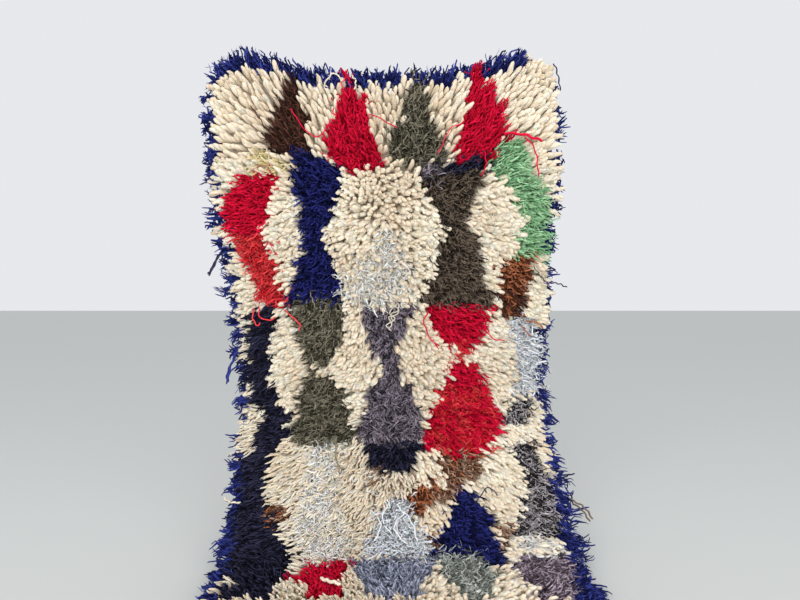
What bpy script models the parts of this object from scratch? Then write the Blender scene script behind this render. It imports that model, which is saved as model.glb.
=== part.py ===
"""A boucherouite rug with a shaggy knotted pile, hung by its top edge.

The two top corners are drawn up and the edge sags between them. The rug leans back a little as it
falls, buckles at two creases, then sweeps forward onto the floor, where its last stretch lies flat.

Each piece is first made in the rug's own flat measure: across from the middle of its width, along
from its top edge, and up from the back of its ground cloth. The function hung() then bends that
measure into the hang. X is to the right, the pile faces -Y, Z is up, and the origin is the middle
of the top edge, at the back of the cloth. Metres throughout.
"""

import math
from collections import namedtuple

import bmesh
import bpy
import numpy as np
from mathutils import Vector, noise

# The cloth with its pile, laid flat
CLOTH_WIDTH = 0.81
CLOTH_LENGTH = 1.60
COLUMNS = 36
ROWS = 71
RIM_HEIGHT = 0.014
PILE_HEIGHT = 0.028
PILE_LUMP = 0.018
LUMP_SIZE = 0.042
ROW_RIDGE = 0.005
PILE_DROOP = 0.007
RIM_SLOPE_WIDTH = 0.045

# The locks of yarn along the rim, on strips parted from the cloth's edge
GAP = 0.0003
STRIP_WIDTH = 0.006
TOP_LOCK_LENGTH = 0.028
SIDE_LOCK_LENGTH = 0.036
FOOT_LOCK_LENGTH = 0.036
LENGTH_SPREAD = 0.022
MIDDLE_OF_LOCK = 0.55
MIDDLE_WIDTH = 0.70
TIP_WIDTH = 0.26
LOCK_LEAN = 0.55
SWAY_SIZE = 0.11
LENGTH_SIZE = 0.030
LOCK_JITTER = 0.005
JITTER_SIZE = 0.017
LOCK_LIFT = 0.014
LIFT_SIZE = 0.050
LEVEL_LOCKS_FROM = 1.20
CORNER_FAN = 0.5
CORNER_FAN_REACH = 0.08
TOP_SEED = 5
FOOT_SEED = 6

# The top edge is held near its corners, which are drawn up there and are a little rounded
HELD_AT = 0.84
HELD_SPREAD = 0.32
CORNER_RISE = 0.052
CORNER_FADE = 0.40
CORNER_ROUND = 0.020
CORNER_SHARE = 0.78
CORNER_REACH = 0.09

# How far the foot of the hang lies to the right of its top
DRIFT = 0.045

# The hang, read from the top edge down: how far the cloth leans forward from plumb, in degrees,
# how far its side edges roll back, and its width there as a share of the flat width
Station = namedtuple("Station", "along lean roll width")
STATIONS = (
    Station(0.00, -5.0, 0.016, 1.055),
    Station(0.28, -9.0, 0.022, 1.035),
    Station(0.57, -8.0, 0.032, 0.985),
    Station(0.74, -3.0, 0.038, 0.965),
    Station(0.82, 12.0, 0.038, 0.965),
    Station(0.93, 33.0, 0.030, 0.970),
    Station(1.10, 37.0, 0.020, 0.980),
    Station(1.22, 52.0, 0.010, 0.990),
    Station(1.33, 86.0, 0.002, 1.000),
    Station(1.37, 90.0, 0.000, 1.000),
)

# Creases and billows across the cloth: depth is how far it is drawn back, spread is half its width
Fold = namedtuple("Fold", "along across depth spread reach slant")
FOLDS = (
    Fold(0.15, -0.10, 0.010, 0.070, 0.18, 0.20),
    Fold(0.35, 0.16, -0.009, 0.090, 0.20, -0.25),
    Fold(0.56, -0.14, 0.008, 0.080, 0.22, 0.15),
    Fold(0.862, 0.02, 0.012, 0.018, 0.30, 0.03),
    Fold(0.908, 0.00, 0.010, 0.016, 0.28, -0.04),
    Fold(0.950, -0.02, -0.010, 0.030, 0.30, 0.02),
    Fold(1.06, 0.12, -0.007, 0.060, 0.20, 0.20),
)

# The stretches that the side locks are knotted in, each a node of its own, by row of the cloth
Run = namedtuple("Run", "name first last")
SIDE_RUNS = (Run("upper", 0, 35), Run("lower", 35, 60), Run("floor", 60, ROWS))

STEP = 0.005
LINE = np.arange(-0.10, CLOTH_LENGTH + 0.10, STEP)


def eased(column):
    """One column of the stations along the line, its corners rounded off."""
    along = [station.along for station in STATIONS]
    values = [getattr(station, column) for station in STATIONS]
    spread = np.arange(-3, 4) * STEP
    return np.mean([np.interp(LINE + off, along, values) for off in spread], axis=0)


LEAN = np.radians(eased("lean"))
ROLL = eased("roll")
WIDTH = eased("width")


def summed(rate):
    """The running sum of rate along the line, nought at the top edge."""
    middles = (rate[1:] + rate[:-1]) / 2 * STEP
    total = np.concatenate([[0.0], np.cumsum(middles)])
    return total - np.interp(0.0, LINE, total)


BACK = summed(-np.sin(LEAN))
RISE = summed(-np.cos(LEAN))


def smooth_step(value):
    value = min(max(value, 0.0), 1.0)
    return value * value * (3 - 2 * value)


def folded(across, along):
    """How far the folds draw the cloth back at a place on it."""
    depth = 0.0
    for fold in FOLDS:
        off = (along - fold.along - fold.slant * (across - fold.across)) / fold.spread
        side = (across - fold.across) / fold.reach
        depth += fold.depth * math.exp(-off * off - side**4)
    return depth


def hung(across, along, up):
    """The place in the hang of a place in the flat rug."""
    half = CLOTH_WIDTH / 2
    corner = smooth_step((abs(across) / half - CORNER_SHARE) / (1 - CORNER_SHARE))
    corner *= smooth_step(1 - along / CORNER_REACH)
    across -= math.copysign(CORNER_ROUND * corner, across)
    along += CORNER_ROUND * corner
    lean = np.interp(along, LINE, LEAN)
    roll = np.interp(along, LINE, ROLL)
    share = across / half
    fade = smooth_step(1 - along / CORNER_FADE)
    down = Vector((0.0, -math.sin(lean), -math.cos(lean)))
    out = Vector((0.0, -math.cos(lean), math.sin(lean)))
    side_turn = math.atan(3 * roll * share * abs(share) / half)
    pile_way = out * math.cos(side_turn) + Vector((math.sin(side_turn), 0.0, 0.0))
    drift = DRIFT * smooth_step(along / CLOTH_LENGTH)
    wide = across * np.interp(along, LINE, WIDTH)
    place = Vector((wide + drift, np.interp(along, LINE, BACK), np.interp(along, LINE, RISE)))
    held = math.exp(-(((abs(share) - HELD_AT) / HELD_SPREAD) ** 2))
    place -= down * CORNER_RISE * held * fade
    place -= out * (roll * abs(share) ** 3 + folded(across, along))
    return place + pile_way * up


def pile_tip(across, along, column, row):
    """How far along and how far up the pile's top lies, low at the rim and lumpy inside it."""
    rim = min(CLOTH_WIDTH / 2 - abs(across), along, CLOTH_LENGTH - along)
    inner = smooth_step(rim / RIM_SLOPE_WIDTH)
    lump = PILE_LUMP * noise.noise(Vector((across, along, 0.0)) / LUMP_SIZE)
    ridge = ROW_RIDGE * ((row + column // 2) % 2)
    up = RIM_HEIGHT + inner * (PILE_HEIGHT - RIM_HEIGHT + lump + ridge)
    return along + PILE_DROOP * inner, up


def block(columns, rows):
    """A closed block of columns by rows cells, from 0 to 1 in x, y and z."""
    shape = bmesh.new()
    bmesh.ops.create_grid(shape, x_segments=columns, y_segments=rows, size=0.5)
    bmesh.ops.translate(shape, verts=shape.verts, vec=(0.5, 0.5, 0.0))
    sheet = shape.faces[:] + shape.edges[:] + shape.verts[:]
    raised = bmesh.ops.extrude_face_region(shape, geom=sheet, use_keep_orig=True)["geom"]
    top = [item for item in raised if isinstance(item, bmesh.types.BMVert)]
    bmesh.ops.translate(shape, verts=top, vec=(0.0, 0.0, 1.0))
    bmesh.ops.recalc_face_normals(shape, faces=shape.faces)
    return shape


def wool(name, colour):
    material = bpy.data.materials.new(name)
    material.use_nodes = True
    shader = material.node_tree.nodes["Principled BSDF"]
    shader.inputs["Base Color"].default_value = (*colour, 1.0)
    shader.inputs["Roughness"].default_value = 0.95
    shader.inputs["Metallic"].default_value = 0.0
    material.diffuse_color = (*colour, 1.0)
    return material


def keep(name, shape, material, collection):
    """Makes the finished shape an object of the rug, turned right side out if it was mirrored."""
    if shape.calc_volume(signed=True) < 0:
        bmesh.ops.reverse_faces(shape, faces=shape.faces)
    mesh = bpy.data.meshes.new(name)
    shape.to_mesh(mesh)
    shape.free()
    mesh.materials.append(material)
    mesh.shade_smooth()
    collection.objects.link(bpy.data.objects.new(name, mesh))


def make_slab(material, collection):
    """The ground cloth and its pile, one lumpy slab."""
    shape = block(COLUMNS, ROWS)
    for vert in shape.verts:
        across = (vert.co.x - 0.5) * CLOTH_WIDTH
        along = vert.co.y * CLOTH_LENGTH
        up = 0.0
        if vert.co.z > 0:
            column, row = round(vert.co.x * COLUMNS), round(vert.co.y * ROWS)
            along, up = pile_tip(across, along, column, row)
        vert.co = hung(across, along, up)
    keep("rug_slab", shape, material, collection)


def lock_ways(first, cells, cell, whole, length, level_from, seed):
    """For each cell of a strip, its middle and where its lock's tip lies from there.

    Neighbours lean alike, so they never meet. The end ones fan out at the rug's corners, and those
    past level_from rest level.
    """
    ways = []
    for index in range(first, first + cells):
        middle = (index + 0.5) * cell
        sway = LOCK_LEAN * noise.noise(Vector((middle / SWAY_SIZE, seed, 0.5)))
        reach = length + LENGTH_SPREAD * noise.noise(Vector((middle / LENGTH_SIZE, seed, 4.5)))
        jitter = LOCK_JITTER * noise.noise(Vector((middle / JITTER_SIZE, seed, 8.5)))
        lift = LOCK_LIFT * noise.noise(Vector((middle / LIFT_SIZE, seed, 2.5)))
        near = math.exp(-middle / CORNER_FAN_REACH)
        far = math.exp(-(whole - middle) / CORNER_FAN_REACH)
        turn = sway + CORNER_FAN * (far - near)
        tip = Vector((reach * math.sin(turn) + jitter, reach * math.cos(turn), lift))
        if middle > level_from:
            tip.z = 0.0
        ways.append((middle - first * cell, tip))
    return ways


def draw_out(shape, outer, ways):
    """Draws each outer face of a strip out into its lock, by way of the lock's middle."""
    middles = bmesh.ops.extrude_discrete_faces(shape, faces=outer)["faces"]
    rings = [(face.verts[:], MIDDLE_OF_LOCK, MIDDLE_WIDTH) for face in middles]
    tips = bmesh.ops.extrude_discrete_faces(shape, faces=middles)["faces"]
    rings += [(face.verts[:], 1.0, TIP_WIDTH) for face in tips]
    for verts, share, width in rings:
        seen = sum(vert.co.x for vert in verts) / len(verts)
        root, tip = min(ways, key=lambda way: abs(way[0] - seen))
        for vert in verts:
            across = root + (vert.co.x - root) * width
            vert.co = Vector((across, STRIP_WIDTH, vert.co.z * width)) + tip * share


def make_locks(name, laid, cell, ways, material, collection):
    """One strip with its locks. laid() turns along, outward and up into the flat rug's measure."""
    shape = block(len(ways), 1)
    for vert in shape.verts:
        vert.co.x = GAP / 2 + vert.co.x * (len(ways) * cell - GAP)
        vert.co.y *= STRIP_WIDTH
        vert.co.z *= RIM_HEIGHT
    outer = [face for face in shape.faces if face.calc_center_median().y > STRIP_WIDTH * 0.99]
    draw_out(shape, outer, ways)
    for vert in shape.verts:
        vert.co = hung(*laid(vert.co.x, vert.co.y + GAP, vert.co.z))
    keep(name, shape, material, collection)


def make_side_locks(material, collection):
    row = CLOTH_LENGTH / ROWS
    for side, side_name in ((-1, "left"), (1, "right")):
        for run in SIDE_RUNS:

            def laid(along, outward, up, side=side, start=run.first * row):
                return side * (CLOTH_WIDTH / 2 + outward), start + along, up

            cells = run.last - run.first
            length, level = SIDE_LOCK_LENGTH, LEVEL_LOCKS_FROM
            ways = lock_ways(run.first, cells, row, CLOTH_LENGTH, length, level, side)
            make_locks(f"rim_locks_{side_name}_{run.name}", laid, row, ways, material, collection)


def make_end_locks(material, collection):
    column = CLOTH_WIDTH / COLUMNS

    def above(along, outward, up):
        return along - CLOTH_WIDTH / 2, -outward, up

    def below(along, outward, up):
        return along - CLOTH_WIDTH / 2, CLOTH_LENGTH + outward, up

    top = lock_ways(0, COLUMNS, column, CLOTH_WIDTH, TOP_LOCK_LENGTH, CLOTH_WIDTH, TOP_SEED)
    make_locks("rim_locks_top", above, column, top, material, collection)
    foot = lock_ways(0, COLUMNS, column, CLOTH_WIDTH, FOOT_LOCK_LENGTH, 0.0, FOOT_SEED)
    make_locks("rim_locks_bottom", below, column, foot, material, collection)


def main():
    for item in list(bpy.data.objects):
        bpy.data.objects.remove(item)
    collection = bpy.data.collections.new("boucherouite_rug")
    bpy.context.scene.collection.children.link(collection)
    make_slab(wool("ivory_pile", (0.72, 0.66, 0.54)), collection)
    blue = wool("blue_locks", (0.015, 0.035, 0.24))
    make_side_locks(blue, collection)
    make_end_locks(blue, collection)


main()
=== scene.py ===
"""The looks of a boucherouite rug, hung by its top edge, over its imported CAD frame.

The pile is tied as it is on the loom: row by row of knots, each with the yarn that the pattern gives
it. Ivory wool is one to three soft lobes a knot, and every other yarn is a bunch of loose strands. All
of it is made in the rug's own flat measure: across from the middle of its width, along from its top
edge, and up from the back of its ground cloth. The function hung() bends that measure into the hang.
Metres throughout.
"""

import math
from collections import namedtuple

import bpy
import numpy as np
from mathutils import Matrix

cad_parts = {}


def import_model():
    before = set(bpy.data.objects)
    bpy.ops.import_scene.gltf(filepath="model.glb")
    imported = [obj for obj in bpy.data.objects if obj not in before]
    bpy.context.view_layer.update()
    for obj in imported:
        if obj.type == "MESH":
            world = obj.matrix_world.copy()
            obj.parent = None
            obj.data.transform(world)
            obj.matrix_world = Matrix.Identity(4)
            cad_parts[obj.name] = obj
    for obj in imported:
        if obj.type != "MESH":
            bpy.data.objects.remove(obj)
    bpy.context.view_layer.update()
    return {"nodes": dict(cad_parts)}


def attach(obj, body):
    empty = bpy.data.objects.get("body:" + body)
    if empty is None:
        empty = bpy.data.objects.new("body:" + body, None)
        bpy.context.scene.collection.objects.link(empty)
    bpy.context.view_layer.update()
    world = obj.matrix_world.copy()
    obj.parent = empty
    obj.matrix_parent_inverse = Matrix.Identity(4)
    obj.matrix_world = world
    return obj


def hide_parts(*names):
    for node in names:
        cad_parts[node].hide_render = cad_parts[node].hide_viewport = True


# The ground cloth, and the edge that it hangs by, as in the part
CLOTH_WIDTH = 0.81
HALF = CLOTH_WIDTH / 2
CLOTH_LENGTH = 1.60
CLOTH_THICK = 0.003
HELD_AT = 0.84
HELD_SPREAD = 0.32
CORNER_RISE = 0.052
CORNER_FADE = 0.40
CORNER_ROUND = 0.020
CORNER_SHARE = 0.78
CORNER_REACH = 0.09
DRIFT = 0.045

# The knots of the pile
KNOT_PITCH = 0.0125
ROW_PITCH = 0.0165
KNOT_STRAY = 0.0022
EDGE_MARGIN = 0.006
RAGGED = 0.009
ZONE_RAGGED = 0.03
OVERHANG = 0.55
PILE_LENGTH = 0.037
FOLD_LEAN = 1.3

# The wool lobes and strands
LOBE_FLATNESS = 0.80
HAIR_WIDTH = 0.38
HAIR_SPREAD = 1.7
STRAND_SIDES = 3
LUMPY = 0.05
ROOT_BEND = 0.30
TIP_BEND = 1.15

# How far apart the grain of two strands is, and the margin round a strand in its cell of the map
GRAIN_APART = 7.0
CELL_MARGIN = 0.05

# A strand's waves: how many a plain one makes, how far that varies, and how high they stand. From so
# many waves on it is drawn with the points of a curl.
MILD_TURNS = 1.3
TURNS_SPREAD = 0.5
WAVE_UP = 0.5
CURLY_FROM = 1.5

# Random draws start from these. A yarn's own number is added to the one for strands.
KNOT_SEED = 11
RIM_SEED = 61
STRAY_SEED = 71
LOBE_SEED = 90
STRAND_SEED = 100

# Smooth noises over the rug, each with its seed and the size of its lumps
Noise = namedtuple("Noise", "seed size")
SWIRL_ACROSS = Noise(21, 0.07)
SWIRL_ALONG = Noise(22, 0.06)
CREASE_LINE = Noise(23, 0.05)
RAGGED_ACROSS = Noise(31, 0.013)
RAGGED_ALONG = Noise(32, 0.013)
KNOT_LUCK = Noise(33, 0.009)
LOBE_HEIGHT = Noise(41, 0.05)
LOBE_TONE = Noise(42, 0.11)
ZONE_ALONG = Noise(43, 0.05)
ZONE_ACROSS = Noise(44, 0.05)
NOISE_CELLS = 97

# The photograph's camera
CAMERA_ACROSS = 0.042
CAMERA_BACK = 1.66
CAMERA_HEIGHT = 0.75
CAMERA_PITCH = 4.0
FOCAL_PIXELS = 650
IMAGE_WIDTH = 800
SENSOR = 36.0

# How the sheet hangs: at places along it, its lean from straight down in degrees, how far its sides
# roll forward, and its share of the full width
Station = namedtuple("Station", "along lean roll width")
STATIONS = (
    Station(0.00, -5.0, 0.016, 1.055),
    Station(0.28, -9.0, 0.022, 1.035),
    Station(0.57, -8.0, 0.032, 0.985),
    Station(0.74, -3.0, 0.038, 0.965),
    Station(0.82, 12.0, 0.038, 0.965),
    Station(0.93, 33.0, 0.030, 0.970),
    Station(1.10, 37.0, 0.020, 0.980),
    Station(1.22, 52.0, 0.010, 0.990),
    Station(1.33, 86.0, 0.002, 1.000),
    Station(1.37, 90.0, 0.000, 1.000),
)

# Its folds: the middle of each, how deep it is, how far it spreads along and reaches across, its slant
Fold = namedtuple("Fold", "along across depth spread reach slant")
FOLDS = (
    Fold(0.15, -0.10, 0.010, 0.070, 0.18, 0.20),
    Fold(0.35, 0.16, -0.009, 0.090, 0.20, -0.25),
    Fold(0.56, -0.14, 0.008, 0.080, 0.22, 0.15),
    Fold(0.862, 0.02, 0.012, 0.018, 0.30, 0.03),
    Fold(0.908, 0.00, 0.010, 0.016, 0.28, -0.04),
    Fold(0.950, -0.02, -0.010, 0.030, 0.30, 0.02),
    Fold(1.06, 0.12, -0.007, 0.060, 0.20, 0.20),
)

# How the pile lies: how far it leans along the rug, fans out at the edges and swirls. A low rise fans
# the pile out close to the middle of the width already.
Lie = namedtuple("Lie", "along down fan rise swirl")
LIES = (
    Lie(0.00, -1.35, 0.95, 0.80, 0.22),
    Lie(0.15, -1.05, 1.30, 0.80, 0.25),
    Lie(0.22, -0.60, 1.35, 0.75, 0.25),
    Lie(0.34, 0.25, 1.30, 0.65, 0.30),
    Lie(0.60, 0.55, 1.40, 0.60, 0.40),
    Lie(0.80, 0.60, 1.60, 0.60, 0.40),
    Lie(0.90, 0.90, 1.80, 0.60, 0.35),
    Lie(1.00, 1.30, 2.20, 0.70, 0.30),
    Lie(1.20, 1.20, 2.20, 0.70, 0.30),
    Lie(1.32, 0.70, 1.10, 0.80, 0.30),
    Lie(1.60, 0.85, 0.60, 0.80, 0.30),
)

# The creases across the rug: the pile above one hangs over it, and the pile below it is tucked in. The
# overhang's middle is above the line and the narrower tuck's below it, each in shares of its own width.
Crease = namedtuple("Crease", "along slant middle reach over tuck")
CREASES = (
    Crease(0.782, -0.03, 0.02, 0.36, 0.3, 0.80),
    Crease(0.866, 0.02, -0.08, 0.34, 0.3, 0.82),
    Crease(0.935, -0.02, -0.02, 0.26, 0.2, 0.60),
)
CREASE_WIDTH = 0.014
CREASE_STRAY = 0.006
OVER_ABOVE = 0.5
TUCK_BELOW = 0.8
TUCK_NARROW = 1.2

# The ivory wool: plump near the top, bent over in the middle, and finer and longer at the lower left. A
# zone runs from start to end along the rug and from left to right across it.
Lobe = namedtuple(
    "Lobe", "zone start end left right lobes sides width length wave spread tip_bend shape"
)
PLUMP = (0.74, 0.97, 1.00, 0.84, 0.50, 0.0)
BLUNT = (0.74, 0.95, 1.00, 1.00, 0.72, 0.0)
LOCK = (0.95, 1.00, 0.98, 0.80, 0.48, 0.0)
LOBES = (
    Lobe("upper", -1.00, 0.22, -1.00, 1.00, 1, 6, 0.0138, 0.041, 0.0016, 0.14, 1.25, PLUMP),
    Lobe("middle", 0.22, 0.88, -1.00, 1.00, 3, 4, 0.0140, 0.042, 0.0030, 0.15, 1.90, BLUNT),
    Lobe("lower_left", 0.88, 9.00, -1.00, 0.04, 3, 4, 0.0090, 0.050, 0.0034, 0.17, 1.25, LOCK),
    Lobe("lower_right", 0.88, 9.00, 0.04, 1.00, 2, 5, 0.0118, 0.044, 0.0030, 0.24, 1.60, BLUNT),
)

# A yarn's strands and hairs are those of one knot, turns is how many waves a strand makes, and split
# is how far the strands part into dark and light. The dark and light colours are partly the yarn's own
# uneven tone and partly painted shade and highlight, as of shaded and lit strands. Ivory is tied in
# lobes, and has only its colours here.
Yarn = namedtuple(
    "Yarn",
    "name dark light strands hairs width length wave spread split turns",
    defaults=(*[None] * 7, MILD_TURNS),
)
YARNS = (
    Yarn("ivory", (0.7, 0.57, 0.42), (0.92, 0.83, 0.68)),
    Yarn("blue", (0.004, 0.006, 0.055), (0.045, 0.062, 0.33), 6, 1, 0.005, 0.04, 0.0046, 0.3, 0.5),
    Yarn("straw", (0.7, 0.55, 0.26), (0.95, 0.82, 0.5), 15, 1, 0.0052, 0.04, 0.0034, 0.48, 0.1),
    Yarn("crimson", (0.5, 0.001, 0.018), (0.96, 0.008, 0.068), 6, 1, 0.005, 0.037, 0.0038, 0.28, 0.1),
    Yarn("coral", (0.78, 0.016, 0.028), (1.0, 0.092, 0.1), 6, 0, 0.005, 0.038, 0.0066, 0.5, 0.3, 2.0),
    Yarn("navy", (0.002, 0.003, 0.03), (0.03, 0.038, 0.245), 6, 1, 0.0048, 0.037, 0.0042, 0.36, 0.5),
    Yarn("midnight", (0.002, 0.002, 0.008), (0.043, 0.043, 0.092), 6, 1, 0.0048, 0.041, 0.0036, 0.3, 0.5),
    Yarn("charcoal", (0.003, 0.002, 0.002), (0.235, 0.178, 0.13), 5, 4, 0.0046, 0.036, 0.0042, 0.42, 0.55),
    Yarn("brown", (0.018, 0.006, 0.004), (0.16, 0.066, 0.044), 6, 2, 0.0046, 0.036, 0.0034, 0.34, 0.35),
    Yarn("rust", (0.034, 0.007, 0.004), (0.62, 0.22, 0.1), 6, 1, 0.0048, 0.036, 0.0046, 0.38, 0.5),
    Yarn("fawn", (0.16, 0.066, 0.036), (0.64, 0.42, 0.29), 6, 1, 0.0048, 0.036, 0.005, 0.4, 0.4),
    Yarn("olive", (0.026, 0.023, 0.013), (0.315, 0.285, 0.205), 5, 3, 0.0048, 0.037, 0.005, 0.48, 0.55),
    Yarn("slate", (0.014, 0.011, 0.018), (0.42, 0.355, 0.43), 5, 4, 0.0042, 0.035, 0.0056, 0.62, 0.65),
    Yarn("steel", (0.11, 0.13, 0.19), (0.58, 0.61, 0.77), 6, 2, 0.0048, 0.036, 0.0048, 0.5, 0.3),
    Yarn("silver", (0.72, 0.73, 0.76), (1.0, 1.0, 1.0), 7, 2, 0.0052, 0.042, 0.008, 0.62, 0.3),
    Yarn("mint", (0.15, 0.38, 0.17), (0.54, 0.83, 0.5), 6, 1, 0.005, 0.039, 0.0036, 0.3, 0.2),
    Yarn("blush", (1.0, 0.93, 0.84), (1.0, 0.99, 0.93), 7, 0, 0.0055, 0.043, 0.0058, 0.75, 0.3, 2.0),
    Yarn("pepper", (0.003, 0.003, 0.005), (0.6, 0.55, 0.57), 8, 1, 0.004, 0.034, 0.0056, 0.8, 0.95, 2.0),
    Yarn("sage", (0.16, 0.18, 0.15), (0.76, 0.81, 0.74), 7, 1, 0.0046, 0.036, 0.006, 0.75, 0.5, 2.0),
    Yarn("mauve", (0.08, 0.054, 0.075), (0.68, 0.55, 0.65), 7, 1, 0.0042, 0.034, 0.0056, 0.75, 0.6, 2.0),
)
NUMBER = {yarn.name: number for number, yarn in enumerate(YARNS)}

# Yarns that let light through, and the fuzz that has shorter ivory lobes under it
GLOWING = ("ivory", "blush", "silver", "straw")
FUZZ = ("blush",)
UNDER_FUZZ = 0.78

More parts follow.
